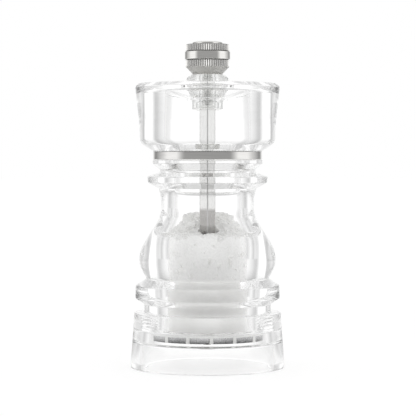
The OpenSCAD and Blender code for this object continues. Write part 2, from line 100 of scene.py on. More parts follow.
def rounded_corner(before: Corner, corner: Corner, after: Corner, steps: int = 8) -> list[Point]:
    """Arc that rounds one corner of an outline.

    Args:
        before: the corner that comes first, as radius, height and rounding.
        corner: the corner to round.
        after: the corner that follows.
        steps: number of chords in the arc.

    Returns:
        Points of the arc, or the corner itself where it is sharp.
    """
    here = Vector(corner[:2])
    to_before = (Vector(before[:2]) - here).normalized()
    to_after = (Vector(after[:2]) - here).normalized()
    half = to_before.angle(to_after) / 2
    if corner[2] == 0 or half > NEARLY_STRAIGHT:
        return [(here.x, here.y)]
    reach = corner[2] / math.tan(half)
    centre = here + (to_before + to_after).normalized() * corner[2] / math.sin(half)
    first = here + to_before * reach - centre
    last = here + to_after * reach - centre
    start = math.atan2(first.y, first.x)
    turn = (math.atan2(last.y, last.x) - start + math.pi) % (2 * math.pi) - math.pi
    count = max(2, round(steps * abs(turn) / (math.pi / 2)))
    angles = [start + turn * i / count for i in range(count + 1)]
    return [(centre.x + corner[2] * math.cos(a), centre.y + corner[2] * math.sin(a)) for a in angles]


def outline(corners: Sequence[Corner]) -> list[Point]:
    """Closed outline with its corners rounded.

    Args:
        corners: radius, height and rounding of each corner, in order.

    Returns:
        Points as radius and height.
    """
    count = len(corners)
    points: list[Point] = []
    for i, corner in enumerate(corners):
        points += rounded_corner(corners[i - 1], corner, corners[(i + 1) % count])
    return points


def curve(shape: Callable[[float], Point], steps: int) -> list[Corner]:
    """Unrounded corners along a curve, whose shape gives the point at each share of the way."""
    return [(*shape(i / steps), 0.0) for i in range(steps + 1)]


def ladder(radius: float, low: float, high: float, rung: float) -> list[Corner]:
    """Unrounded corners on a straight wall between two heights, a rung apart for a thread."""
    count = max(1, round(abs(high - low) / rung))
    return [(radius, low + (high - low) * i / count, 0.0) for i in range(count + 1)]


def to_mesh(name: str, bm: BMesh) -> Mesh:
    """Turns a bmesh into a mesh.

    Args:
        name: name of the mesh.
        bm: the bmesh, which is freed.

    Returns:
        The mesh.
    """
    mesh = bpy.data.meshes.new(name)
    bm.to_mesh(mesh)
    bm.free()
    return mesh


def add_object(name: str, data: ID) -> Object:
    """Adds an object to the scene.

    Args:
        name: name of the object.
        data: its mesh or its camera.

    Returns:
        The object.
    """
    thing = bpy.data.objects.new(name, data)
    bpy.context.collection.objects.link(thing)
    return thing


def finish_mesh(name: str, bm: BMesh, sharp: float = SHARP_DEG) -> Object:
    """Turns a bmesh in millimetres into an object in metres with clean normals.

    Args:
        name: name of the piece.
        bm: its mesh, which is freed.
        sharp: angle in degrees above which an edge stays sharp.

    Returns:
        The new object, linked to the scene.
    """
    bmesh.ops.remove_doubles(bm, verts=bm.verts, dist=WELD_MM)
    bmesh.ops.recalc_face_normals(bm, faces=bm.faces)
    bmesh.ops.scale(bm, vec=(MM, MM, MM), verts=bm.verts)
    mesh = to_mesh(name, bm)
    mesh.shade_smooth()
    mesh.set_sharp_from_angle(angle=math.radians(sharp))
    return add_object(name, mesh)


def surface_of(node: str) -> BVHTree:
    """Faces of a CAD piece, to measure it with rays.

    Args:
        node: name of the CAD piece.

    Returns:
        The faces as a tree, in metres.
    """
    bm = bmesh.new()
    bm.from_mesh(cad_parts[node].data)
    tree = BVHTree.FromBMesh(bm)
    bm.free()
    return tree


def spin_outline(bm: BMesh, points: Sequence[Point], steps: int) -> None:
    """Spins a closed outline an eighth of a turn, and copies it on round the Z axis.

    Args:
        bm: empty mesh to fill.
        points: radius and height of each point.
        steps: number of segments round the axis, a multiple of eight.
    """
    verts = [bm.verts.new((r, 0, z)) for r, z in points]
    edges = [bm.edges.new((a, b)) for a, b in zip(verts, verts[1:] + verts[:1])]
    bmesh.ops.spin(bm, geom=verts + edges, axis=(0, 0, 1), cent=(0, 0, 0),
                   angle=math.pi / 4, steps=steps // 8)
    for turn in (math.pi / 4, math.pi / 2, math.pi):
        copy = bmesh.ops.duplicate(bm, geom=bm.verts[:] + bm.edges[:] + bm.faces[:])["geom"]
        bmesh.ops.rotate(bm, verts=[part for part in copy if isinstance(part, BMVert)],
                         cent=(0, 0, 0), matrix=Matrix.Rotation(turn, 3, "Z"))
    bmesh.ops.remove_doubles(bm, verts=bm.verts, dist=SEAM_MM)


def push_radially(verts: Iterable[BMVert], push: Push) -> None:
    """Moves vertices away from the Z axis.

    Args:
        verts: vertices to move.
        push: gives the move of each.
    """
    for vert in verts:
        radius = math.hypot(vert.co.x, vert.co.y)
        if radius > 0:
            angle = math.atan2(vert.co.y, vert.co.x)
            scale = 1 + push(radius, vert.co.z, angle) / radius
            vert.co.x *= scale
            vert.co.y *= scale


def turned(name: str, corners: Sequence[Corner], steps: int, push: Push | None = None,
           sharp: float = SHARP_DEG) -> Object:
    """Makes a piece turned on a lathe.

    Args:
        name: name of the piece.
        corners: radius, height and rounding of each corner.
        steps: number of segments round the axis.
        push: moves its points away from the axis, for a thread or a knurl.
        sharp: angle in degrees above which an edge stays sharp.

    Returns:
        The piece.
    """
    bm = bmesh.new()
    spin_outline(bm, outline(corners), steps)
    if push:
        push_radially(bm.verts, push)
    return finish_mesh(name, bm, sharp)


def linear(hex_colour: str) -> tuple[float, float, float, float]:
    """Linear colour for an sRGB hex value.

    Args:
        hex_colour: such as "#F4F5F2".

    Returns:
        Red, green, blue and alpha.
    """
    parts = [int(hex_colour[i:i + 2], 16) / 255 for i in (1, 3, 5)]
    low = [p / 12.92 if p <= 0.04045 else ((p + 0.055) / 1.055) ** 2.4 for p in parts]
    return (*low, 1.0)


def add_node(tree: NodeTree, kind: str, settings: dict[str, object] | None = None,
             links: dict[str, Source] | None = None) -> Node:
    """Adds a node, sets it and links its inputs.

    Args:
        tree: node tree to add to.
        kind: the shader node's type, such as "TexNoise".
        settings: inputs by name or number, or attributes where no input has the name.
        links: what to link to the inputs: a socket, or a node for its first output.

    Returns:
        The new node.
    """
    node = tree.nodes.new("ShaderNode" + kind)
    for key, value in (settings or {}).items():
        if key.isdigit() or key in node.inputs:
            node.inputs[int(key) if key.isdigit() else key].default_value = value
        else:
            setattr(node, key, value)
    for key, source in (links or {}).items():
        socket = source.outputs[0] if isinstance(source, Node) else source
        tree.links.new(socket, node.inputs[int(key) if key.isdigit() else key])
    return node


def choose(tree: NodeTree, shader: Node, *choices: tuple[Source, Node]) -> Node:
    """Turns one shader into others by switches, of which the last that is on wins.

    Args:
        tree: node tree to add to.
        shader: the shader where no switch is on.
        choices: switches, each with the shader that it turns to.

    Returns:
        The node of the chosen shader.
    """
    for switch, other in choices:
        shader = add_node(tree, "MixShader", {}, {"0": switch, "1": shader, "2": other})
    return shader


def blank_material(name: str) -> tuple[Material, NodeTree]:
    """New material with an empty node tree.

    Args:
        name: name of the material.

    Returns:
        The material and its tree.
    """
    material = bpy.data.materials.new(name)
    material.use_nodes = True
    material.node_tree.nodes.clear()
    return material, material.node_tree


@dataclass(frozen=True)
class Finish:
    """A surface: one Principled shader, with streaks or speckle on roughness, colour and bump.

    The height colour fades over a span of heights; the hollow shade colour, a painted shade, over one
    of distances from the axis; and the edge shade colour, a painted shade, over one of distances from
    the X and Y axes, where a square bar has its edges. Spans of the grain are shares of its range.
    """

    name: str
    colour: str
    second_colour: str
    roughness: float
    roughness_spread: float = 0.05
    metallic: float = 0.0
    ior: float = 1.45
    transmission: float = 0.0
    subsurface: float = 0.0
    grain_mm: tuple[float, float, float] = (1.0, 1.0, 1.0)
    noise_detail: float = 3.0
    rough_span: Span = (0.3, 0.7)
    tint_span: Span = (0.35, 0.65)
    bump_mm: float = 0.0
    bump_strength: float = 0.6
    glow_mm: float = 1.5
    anisotropic: float = 0.0
    height_colour: str = ""
    height_span_mm: Span = (0.0, 0.0)
    hollow_shade_colour: str = ""
    hollow_shade_r_mm: Span = (0.0, 0.0)
    edge_shade_colour: str = ""
    edge_shade_mm: Span = (0.0, 0.0)

    def fade(self, tree: NodeTree, where: Source, span_mm: Span, near: str, far: Source) -> Source:
        """Colour that goes from one to another over a length.

        Args:
            tree: node tree to add to.
            where: height or distance.
            span_mm: where the change starts and ends.
            near: colour before it, as a hex value.
            far: colour after it.

        Returns:
            The colour's socket.
        """
        share = add_node(tree, "MapRange", {
            "From Min": span_mm[0] * MM, "From Max": span_mm[1] * MM}, {"Value": where})
        mix = add_node(tree, "Mix", {"data_type": "RGBA", "6": linear(near)}, {"0": share, "7": far})
        return mix.outputs[2]

    def material(self) -> Material:
        """Makes the material, the first time that it is asked for.

        Returns:
            The material.
        """
        known = bpy.data.materials.get(self.name)
        if known:
            return known
        material, tree = blank_material(self.name)
        place = add_node(tree, "TexCoord").outputs["Object"]
        scale = tuple(1 / (size * MM) for size in self.grain_mm)
        spot = add_node(tree, "Mapping", {"Scale": scale}, {"Vector": place})
        grain = add_node(tree, "TexNoise", {"Scale": 1.0, "Detail": self.noise_detail},
                         {"Vector": spot}).outputs["Fac"]
        rough = add_node(tree, "MapRange", {
            "From Min": self.rough_span[0], "From Max": self.rough_span[1],
            "To Min": max(self.roughness - self.roughness_spread, 0.0),
            "To Max": self.roughness + self.roughness_spread}, {"Value": grain})
        tint = add_node(tree, "ValToRGB", {}, {"Fac": grain})
        hexes = (self.colour, self.second_colour)
        for stop, share, hex_colour in zip(tint.color_ramp.elements, self.tint_span, hexes):
            stop.position = share
            stop.color = linear(hex_colour)
        colour = tint.outputs["Color"]
        # Colour that fades by height: painted shade on the ring's upper face and the foot ring's lower
        # edge, and darker down by the salt on the spindle
        if self.height_colour:
            height = add_node(tree, "SeparateXYZ", {}, {"Vector": place}).outputs["Z"]
            colour = self.fade(tree, height, self.height_span_mm, self.height_colour, colour)
        # Painted shade along the edges of a square bar, fading with distance from the X and Y axes
        if self.edge_shade_colour:
            sides = add_node(tree, "VectorMath", {"operation": "ABSOLUTE"}, {"0": place})
            parts = add_node(tree, "SeparateXYZ", {}, {"Vector": sides})
            near = add_node(tree, "Math", {"operation": "MINIMUM"}, {
                "0": parts.outputs["X"], "1": parts.outputs["Y"]})
            colour = self.fade(tree, near, self.edge_shade_mm, self.edge_shade_colour, colour)
        # Painted shade in hollows, fading with distance from the axis
        if self.hollow_shade_colour:
            flat = add_node(tree, "VectorMath", {"operation": "MULTIPLY", "1": (1, 1, 0)}, {"0": place})
            radius = add_node(tree, "VectorMath", {"operation": "LENGTH"}, {"0": flat})
            colour = self.fade(tree, radius.outputs["Value"], self.hollow_shade_r_mm, self.hollow_shade_colour, colour)
        links = {"Base Color": colour, "Roughness": rough}
        if self.bump_mm:
            links["Normal"] = add_node(tree, "Bump", {
                "Strength": self.bump_strength, "Distance": self.bump_mm * MM}, {"Height": grain})
        if self.anisotropic:
            links["Tangent"] = add_node(tree, "Tangent", {"direction_type": "RADIAL", "axis": "Z"})
        shader = add_node(tree, "BsdfPrincipled", {
            "Metallic": self.metallic, "IOR": self.ior, "Transmission Weight": self.transmission,
            "Subsurface Weight": self.subsurface, "Subsurface Radius": (1, 1, 1),
            "Subsurface Scale": self.glow_mm * MM, "Anisotropic": self.anisotropic}, links)
        add_node(tree, "OutputMaterial", {}, {"Surface": shader})
        return material


# Cast acrylic, polished: water clear, with a trace of rubbing that only softens a glint
ACRYLIC = Finish("cast_acrylic_polished", "#FEFEFE", "#FFFFFF", 0.0, 0.004, ior=1.491,
                 transmission=1.0, grain_mm=(6, 6, 6))
# Moulded clear polystyrene: clear, but with a grey cast and a slightly soft surface
STYRENE = Finish("clear_polystyrene_moulded", "#F4F5F4", "#F9F9F8", 0.05, 0.02, ior=1.59,
                 transmission=1.0, grain_mm=(3, 3, 3))
# Stainless steel, brushed on a lathe: rings round the axis that pull highlights upright, drawn
# coarser than real ones so that they show, and painted shade on its upper face, under the head's foot
RING_STEEL = Finish("stainless_steel_brushed_round", "#DAD9D7", "#E8E7E5", 0.09, 0.03, metallic=1.0,
                    grain_mm=(9, 9, 0.12), bump_mm=0.002, anisotropic=0.4, height_colour="#90908F",
                    height_span_mm=(83.0, 82.5))
# Zinc, knurled and nickel plated: bright crests, and painted shade in the valleys
KNOB_METAL = Finish("zinc_nickel_plated_knurled", "#F8F7F4", "#FFFEFC", 0.26, 0.05, metallic=0.7,
                    grain_mm=(0.5, 0.5, 0.5), bump_mm=0.002, hollow_shade_colour="#8F8E8C",
                    hollow_shade_r_mm=(8.12, 8.36))
# The same plating, polished on the band: sharp reflections, and painted shade where it drops to the knurl
BAND_METAL = Finish("zinc_nickel_plated_polished", "#DFDEDB", "#E9E8E5", 0.06, 0.02, metallic=1.0,
                    grain_mm=(4, 4, 0.3), hollow_shade_colour="#3C3B3A", hollow_shade_r_mm=(8.3, 8.75))
# The same plating on the domed cap: satin
CAP_METAL = Finish("zinc_nickel_plated_satin", "#D6D5D2", "#E4E3E0", 0.18, 0.05, metallic=1.0,
                   grain_mm=(0.5, 0.5, 0.5), bump_mm=0.002)
# The same plating over the blasted casting of the underside: darker and matt
CAST_METAL = Finish("zinc_nickel_plated_blasted", "#B2B1AE", "#CBCAC7", 0.42, 0.08, metallic=0.9,
                    grain_mm=(0.4, 0.4, 0.4), bump_mm=0.03)
# Stainless bar, drawn: marks along its length, coarser than real ones so that they show, darker
# down by the salt, and painted shade along its edges
SPINDLE_STEEL = Finish("stainless_steel_drawn", "#DFDFDE", "#E6E6E5", 0.16, 0.04, metallic=1.0,
                       grain_mm=(0.15, 0.15, 12), bump_mm=0.001, height_colour="#ACAAA8",
                       height_span_mm=(59.5, 61.5), edge_shade_colour="#B6B6B5", edge_shade_mm=(0.16, 0.34))
# Turned brass: warm, with fine rings from the tool
BRASS = Finish("brass_turned", "#C9A659", "#D6B66C", 0.28, 0.06, metallic=1.0, grain_mm=(6, 6, 0.2))
# Spring steel, blued: nearly black, with an oily gloss
CLIP_STEEL = Finish("spring_steel_blued", "#3B3C3F", "#4A4B4E", 0.35, 0.08, metallic=1.0,
                    grain_mm=(0.8, 0.8, 0.8))
# Zinc plated steel, stamped: pale, with a slightly mottled gloss
WASHER_STEEL = Finish("steel_zinc_plated", "#BFC0C1", "#CDCECF", 0.33, 0.1, metallic=1.0,
                      grain_mm=(0.7, 0.7, 0.7), bump_mm=0.004)
# Nylon, moulded: milky, with a dull gloss
NYLON = Finish("nylon_moulded", "#F0EFEA", "#F5F4F0", 0.45, 0.06, ior=1.53, subsurface=0.2,
               grain_mm=(0.6, 0.6, 0.6), bump_mm=0.004)
# Polypropylene, moulded: milky white, with a dull and waxy gloss
POLYPROPYLENE = Finish("polypropylene_moulded", "#EFEFED", "#F3F3F2", 0.4, 0.06, ior=1.49,
                       grain_mm=(1.2, 1.2, 1.2), bump_mm=0.005)
# Fired ceramic, unglazed: chalky white with a fine grain
CERAMIC = Finish("alumina_ceramic_fired", "#F5F4F0", "#FAF9F6", 0.5, 0.08, ior=1.76,
                 grain_mm=(0.25, 0.25, 0.25), bump_mm=0.01)
# Rock salt, crushed: frosted by its many small faces, so that a heap of it looks white
SALT = Finish("rock_salt_crystal", "#FBFBFA", "#FEFEFD", 0.3, 0.15, ior=1.54,
              grain_mm=(0.5, 0.5, 0.5), bump_mm=0.02)
# Rock salt, packed in the middle of the fill: it only shows as white between the crystals
SALT_HEART = Finish("rock_salt_packed", "#FBFBFA", "#FFFFFE", 0.6, 0.1, ior=1.54,
                    grain_mm=(0.9, 0.9, 0.9), bump_mm=0.15)
# Steel, grey, with painted shade that makes it nearly black at its lower edge in the shaded recess
DARK_STEEL = Finish("steel_painted_shade_low", "#BABABB", "#C4C4C5", 0.3, 0.08, metallic=1.0,
                    grain_mm=(0.8, 0.8, 0.8), bump_mm=0.003, height_colour="#2C2C2D",
                    height_span_mm=(10.7, 12.6))


def paint(piece: Object, finish: Finish) -> None:
    """Gives a piece one finish in place of those it has."""
    piece.data.materials.clear()
    piece.data.materials.append(finish.material())


def dress(piece: Object, finish: Finish, group: Group, slot: str, *nodes: str,
          zones: Sequence[tuple[Finish, Callable[[float], bool]]] = ()) -> None:
    """Gives a new piece its finish, its body and the CAD nodes that it stands for.

    Args:
        piece: the piece.
        finish: its surface.
        group: the body that it rides on.
        slot: the record's material slot; not used.
        nodes: CAD nodes that it replaces.
        zones: other finishes, each with a test on the height of a face in millimetres.
    """
    paint(piece, finish)
    for index, (other, inside) in enumerate(zones, 1):
        piece.data.materials.append(other.material())
        for face in piece.data.polygons:
            if inside(face.center.z / MM):
                face.material_index = index
    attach(piece, group.value)
    if nodes:
        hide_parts(*nodes)
    LOG.info("%s: %d faces, on %s", piece.name, len(piece.data.polygons), group.value)


def dress_node(node: str, finish: Finish) -> None:
    """Gives a CAD node its finish.

    Args:
        node: name of the node.
        finish: its surface.
    """
    paint(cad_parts[node], finish)
    LOG.info("%s: CAD node in %s", node, finish.name)


@dataclass(frozen=True)
class FootThread:
    """Quick thread between the foot of the body and the collar: a segment at each side."""

    pitch: float = 1.25
    depth: float = 0.45
    low: float = 14.6
    high: float = 19.8
    rung: float = 0.125
    run_out: float = 0.5
    half_span: float = 30.0
    side_fade: float = 14.0
    slack: float = 0.02

    def push(self, radius: float, height: float, angle: float, base: float) -> float:
        """How far the thread stands off its plain cylinder.

        Args:
            radius: radius of the point.
            height: height of the point.
            angle: angle of the point round the axis.
            base: radius of the plain cylinder.

        Returns:
            The move away from the axis.
        """
        if abs(radius - base) > self.slack or not self.low < height < self.high:
            return 0.0
        from_side = math.degrees(math.asin(min(1.0, abs(math.sin(angle)))))
        phase = (height / self.pitch - angle / (2 * math.pi)) % 1
        wave = 1 - 4 * abs(phase - 0.5)
        fade = min(1.0, (height - self.low) / self.run_out, (self.high - height) / self.run_out,
                   (self.half_span - from_side) / self.side_fade)
        return self.depth / 2 * wave * max(0.0, fade)


@dataclass
class ClearBody:
    """Base collar, body shell and the ring between body and head."""

    thread: FootThread = FootThread()
    steps: int = 256
    foot_r: float = 29.4
    foot_wall_h: float = 2.6
    foot_curve: float = 12.0
    collar_top_r: float = 28.2
    mouth_bevel: float = 0.3
    skirt_wall: float = 4.0
    skirt_h: float = 9.8
    recess_r: float = 21.9
    recess_top: float = 14.2
    recess_bevel: float = 0.2
    spigot_r: float = 17.1
    spigot_bevel: float = 0.4
    thread_gap: float = 0.1
    thread_stop: float = 0.05
    waist_r: float = 24.5
    waist_h: float = 3.2
    flange_r: float = 27.8
    flange_h: float = 9.6
    flange_low_h: float = 2.3
    flange_top_h: float = 2.5
    flange_taper: float = 0.25
    groove_r: float = 23.8
    groove_wall_h: float = 0.6
    bulb_r: float = 26.2
    bulb_low_h: float = 7.6
    bulb_top_h: float = 20.0
    bulb_steps: tuple[int, int] = (14, 36)
    neck_r: float = 17.8
    neck_h: float = 7.1
    neck_steps: int = 12
    disc_r: float = 23.1
    disc_h: float = 6.0
    crown_r: float = 21.2
    crown_h: float = 5.1
    crown_slope_h: float = 3.5
    # Corners past the radius of disc or neck, and over the foot of disc or crown
    disc_edge: tuple[Corner, ...] = ((-0.2, 2.2, 0.6), (0.0, 4.6, 0.5))
    crown_groove: tuple[Corner, ...] = ((1.3, 0.0, 0.4), (0.4, 0.8, 0.4), (1.0, 1.5, 0.4))
    lip_r: float = 16.8
    bore_r: float = 15.4
    bore_curve: float = 3.0
    bore_share: float = 0.83
    throat_r: float = 12.9
    bore_step_h: float = 6.8
    seat_gap: float = 0.03

    def collar(self) -> None:
        """Makes the clear collar with its thread, recess and skirt."""
        top = level("base_collar", True)
        bore = self.spigot_r + self.thread_gap
        skirt = self.foot_r - self.skirt_wall
        ceiling = self.recess_top + self.seat_gap
        corners = ladder(bore, top - self.mouth_bevel, ceiling + self.recess_bevel, self.thread.rung)
        corners += [
            (bore + self.recess_bevel, ceiling, 0.0), (self.recess_r, ceiling, 0.5),
            (self.recess_r, self.skirt_h, 0.3), (skirt, self.skirt_h, 0.5), (skirt, 0, 0.4),
            (self.foot_r, 0, 0.4), (self.foot_r, self.foot_wall_h, self.foot_curve),
            (self.collar_top_r, top, 0.5), (bore + self.mouth_bevel, top, 0.0)]
        piece = turned("collar", corners, self.steps, lambda r, z, a: self.thread.push(r, z, a, bore))
        dress(piece, ACRYLIC, Group.MILL, "clear_acrylic", "base_collar")

    def shell(self) -> None:
        """Makes the clear body from its threaded foot to the lip."""
        foot = self.recess_top + 2 * self.seat_gap
        seat = level("base_collar", True)
        waist = seat + self.seat_gap
        flange = seat + self.waist_h
        groove = flange + self.flange_h
        bulb = groove + self.bulb_low_h
        neck = bulb + self.bulb_top_h
        disc = neck + self.neck_h
        crown = disc + self.disc_h
        crown_top = crown + self.crown_h
        lip_top = level("body_shell", True)
        step = groove + self.bore_share * (self.bulb_low_h + self.bulb_top_h)
        low_h = self.bulb_low_h - self.groove_wall_h
        corners = [(self.bore_r, foot, 0.3), (self.spigot_r - self.spigot_bevel, foot, 0.0)]
        corners += ladder(self.spigot_r, foot + self.spigot_bevel, waist - self.thread_stop,
                          self.thread.rung)
        corners += [
            (self.spigot_r, waist, 0), (self.waist_r, waist, 0.3), (self.waist_r, flange, 0.5),
            (self.flange_r, flange + self.flange_low_h, 0.7),
            (self.flange_r - self.flange_taper, groove - self.flange_top_h, 0.6),
            (self.groove_r, groove, 0.4)]
        corners += curve(lambda t: (
            self.groove_r + (self.bulb_r - self.groove_r) * math.sin(math.pi / 2 * t),
            groove + self.groove_wall_h + low_h * t), self.bulb_steps[0])
        corners += curve(lambda t: (
            self.neck_r + (self.bulb_r - self.neck_r) * (1 + math.cos(math.pi * t)) / 2,
            bulb + self.bulb_top_h * t), self.bulb_steps[1])[1:-1]
        corners += curve(lambda t: (self.neck_r + t * t, neck + self.neck_h * t), self.neck_steps)
        corners += [(self.disc_r + r, disc + z, soft) for r, z, soft in self.disc_edge]
        corners += [(self.neck_r + r, crown + z, soft) for r, z, soft in self.crown_groove]
        corners += [
            (self.crown_r, crown + self.crown_slope_h, 0.4), (self.crown_r, crown_top, 0.4),
            (self.lip_r, crown_top, 0.05), (self.lip_r, lip_top, 0.5),
            (self.throat_r, lip_top, 0.5), (self.throat_r, step, self.bore_curve),
            (self.bore_r, step - self.bore_step_h, self.bore_curve)]
        piece = turned("body", corners, self.steps,
                       lambda r, z, a: self.thread.push(r, z, a, self.spigot_r))
        dress(piece, ACRYLIC, Group.MILL, "clear_acrylic", "body_shell")

    def ring(self) -> None:
        """Makes the brushed ring on the crown."""
        low, high = level("neck_ring", False), level("neck_ring", True)
        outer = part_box("neck_ring")[1][0] / MM
        inner = self.lip_r + self.thread_gap
        gap = self.seat_gap
        piece = turned("neck_ring_brushed", [
            (inner, low + gap, 0), (outer, low + gap, 0.25), (outer, high - gap, 0.25),
            (inner, high - gap, 0)], self.steps)
        # Its finish carries painted shade on the ring's upper face
        dress(piece, RING_STEEL, Group.MILL, "brushed_ring", "neck_ring")

    def build(self) -> None:
        """Makes and dresses the three pieces."""
        self.collar()
        self.shell()
        self.ring()


@dataclass
class Head:
    """Clear head and its drive bush."""

    steps: int = 256
    bush_steps: int = 160
    foot_r: float = 20.8
    low_r: float = 25.9
    rim_r: float = 27.8
    flare_h: float = 3.1
    side_h: float = 12.0
    lean: float = 0.45
    rim_h: float = 1.5
    rim_w: float = 6.4
    rim_bevel: Span = (1.6, 0.3)
    dish_depth: float = 4.3
    dish_edge_h: float = 1.2
    plate_t: float = 1.5
    ceiling_r: float = 16.6
    ceiling_h: Span = (2.4, 2.9)
    cavity_r: float = 17.1
    hole_r: float = 6.15
    hole_rise: float = 1.6
    hole_flare: float = 1.2
    bush_r: float = 6.05
    trumpet_h: float = 3.8
    dome_r: float = 8.1
    dome_h: float = 3.5
    dome_share: float = 0.62
    dome_slope: float = 1.6
    socket_side: float = 4.6
    socket_share: float = 0.72
    socket_drop: float = 0.6
    rod_hole_r: float = 2.3
    foot_rise: float = 0.9
    seat_gap: float = 0.02

    def shell(self) -> None:
        """Makes the thick cup with its dished top."""
        low, top = level("head_shell", False), level("head_shell", True)
        plate = top - self.dish_depth
        under = plate - self.plate_t
        piece = turned("head_clear", [
            (self.cavity_r, low + self.seat_gap, 0.2), (self.foot_r, low + self.seat_gap, 0.2),
            (self.low_r, low + self.flare_h, 3), (self.low_r + self.lean, low + self.side_h, 30),
            (self.rim_r, top - self.rim_h, 1),
            (self.rim_r - self.rim_bevel[0], top - self.rim_bevel[1], 1.2),
            (self.rim_r - self.rim_w, top, 6), (self.ceiling_r - 2, top - self.dish_edge_h, 6),
            (self.bush_r + self.hole_rise, plate, 1), (self.hole_r, plate, 0),
            (self.hole_r, under, 0), (self.bush_r + self.hole_flare, under, 1),
            (self.ceiling_r - 1, top - self.ceiling_h[0], 1),
            (self.ceiling_r, top - self.ceiling_h[1], 1)], self.steps)
        dress(piece, ACRYLIC, Group.HEAD, "clear_acrylic", "head_shell")

    def bush(self) -> None:
        """Makes the clear bush with its domed flange, trumpet and socket."""
        low, top = level("drive_bush", False) + self.foot_rise, level("drive_bush", True)
        plate = top - self.dome_h - self.trumpet_h
        dome = top - self.dome_h
        socket_top = plate - self.plate_t - self.socket_drop
        socket_r = self.socket_side * self.socket_share
        piece = turned("bush_clear", [
            (self.rod_hole_r, socket_top, 0), (socket_r, socket_top, 0), (socket_r, low, 0),
            (self.bush_r, low, 0.2), (self.bush_r, plate, 0),
            (self.bush_r + 0.5, plate + self.seat_gap, 0.15), (self.bush_r + 0.7, plate + 1.4, 4),
            (self.dome_r - 0.5, dome, 0.3), (self.dome_r, dome, 0.2),
            (self.dome_r - 0.1, dome + self.dome_h * self.dome_share, 1.2),
            (self.dome_r - self.dome_slope, top, 0.6), (self.rod_hole_r, top, 0)], self.bush_steps)
        dress(piece, STYRENE, Group.HEAD, "clear_bush", "drive_bush")

    def build(self) -> None:
        """Makes and dresses both pieces."""
        self.shell()
        self.bush()


@dataclass
class Knob:
    """Knurled knob with a smooth band."""

    knurl_r: float = 8.45
    knurl_depth: float = 0.35
    teeth: int = 60
    points_per_tooth: int = 6
    sharp: float = 50.0
    band_r: float = 8.8
    band_h: float = 3.1
    knurl_h: float = 2.8
    cone_h: float = 2.8
    foot_r: float = 5.7
    cap_h: float = 1.1
    cap_foot_r: float = 6.1
    cap_r: float = 5.8
    cap_top_r: float = 4.6
    cap_share: float = 0.6
    edge: float = 0.3
    groove: float = 0.12
    band_seam: float = 0.02
    root_gap: float = 0.05
    slack: float = 0.01
    zone_edge: float = 0.1
    pad_r: float = 4.95
    pad_h: float = 0.8

    def knurl(self, radius: float, height: float, angle: float) -> float:
        """Depth of the knurl at a point of the outline.

        Args:
            radius: radius of the point.
            height: height of the point, which the knurl doesn't depend on.
            angle: angle of the point round the axis.

        Returns:
            The move, towards the axis.
        """
        share = max(0.0, 1 - (self.knurl_r - radius) / self.knurl_depth)
        if radius > self.knurl_r + self.slack or share == 0:
            return 0.0
        phase = (angle / (2 * math.pi) * self.teeth) % 1
        return -self.knurl_depth * share * abs(2 * phase - 1)

    def skin(self) -> None:
        """Makes the knob's whole skin as one turned and toothed mesh, with four finishes."""
        low, top = level("knob", False), level("knob", True)
        first = low + self.cone_h
        band = first + self.knurl_h
        second = band + self.band_h
        cap = second + self.knurl_h
        root = self.knurl_r - self.knurl_depth - self.root_gap
        corners = [
            (0, low + self.pad_h, 0), (self.pad_r, low + self.pad_h, 0), (self.pad_r, low, 0.15),
            (self.foot_r, low, 0.2), (root, first - self.edge, 1.6),
            (self.knurl_r, first + 0.1, 0.15), (self.knurl_r, band - self.edge, 0.1),
            (root, band - self.groove, 0.05), (root, band, 0.03),
            (self.band_r, band + self.band_seam, 0.25),
            (self.band_r, second - self.band_seam, 0.25),
            (root, second, 0.03), (root, second + self.groove, 0.05),
            (self.knurl_r, second + self.edge, 0.1), (self.knurl_r, cap - 0.35, 0.15),
            (root - 0.1, cap, 0.1), (self.cap_foot_r, cap + 0.02, 0.1),
            (self.cap_r, cap + self.cap_h * self.cap_share, 0.3), (self.cap_top_r, top, 2),
            (0, top, 0)]
        steps = self.teeth * self.points_per_tooth
        piece = turned("knob_knurled", corners, steps, self.knurl, self.sharp)
        # The knurl's and the band's finishes carry painted shade in their hollows
        dress(piece, KNOB_METAL, Group.KNOB, "knob_metal", "knob", zones=[
            (CAST_METAL, lambda z: z < first - self.zone_edge),
            (BAND_METAL, lambda z: band - self.zone_edge < z < second + self.zone_edge),
            (CAP_METAL, lambda z: z > top - self.cap_h)])

    def build(self) -> None:
        """Makes the knob, and dresses its insert and its pad."""
        self.skin()
        dress_node("knob_insert", BRASS)
        dress_node("knob_pad", NYLON)


@dataclass
class Grinder:
    """Spindle, housing and everything that grinds, in the CAD nodes' own shapes."""

    # The foot ring's finish carries painted shade at its lower edge, and the spindle's along its edges
    looks: tuple[tuple[Finish, str], ...] = (
        (SPINDLE_STEEL, "spindle"), (CLIP_STEEL, "spindle_clip"), (DARK_STEEL, "foot_ring"),
        (WASHER_STEEL, "rotor_washer spring_washer"), (CERAMIC, "rotor stator"),
        (POLYPROPYLENE, "rotor_core grinder_housing spider"))

    def coil(self) -> None:
        """Makes a copy of the spring in place of its CAD node."""
        piece = add_object("spring_coil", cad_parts["spring"].data.copy())
        paint(piece, WASHER_STEEL)
        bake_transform(piece)
        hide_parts("spring")
        LOG.info("%s: shortens between spindle and turning_washer", piece.name)

    def build(self) -> None:
        """Dresses the CAD nodes of the grinder and makes the coil."""
        for finish, nodes in self.looks:
            for node in nodes.split():
                dress_node(node, finish)
        self.coil()


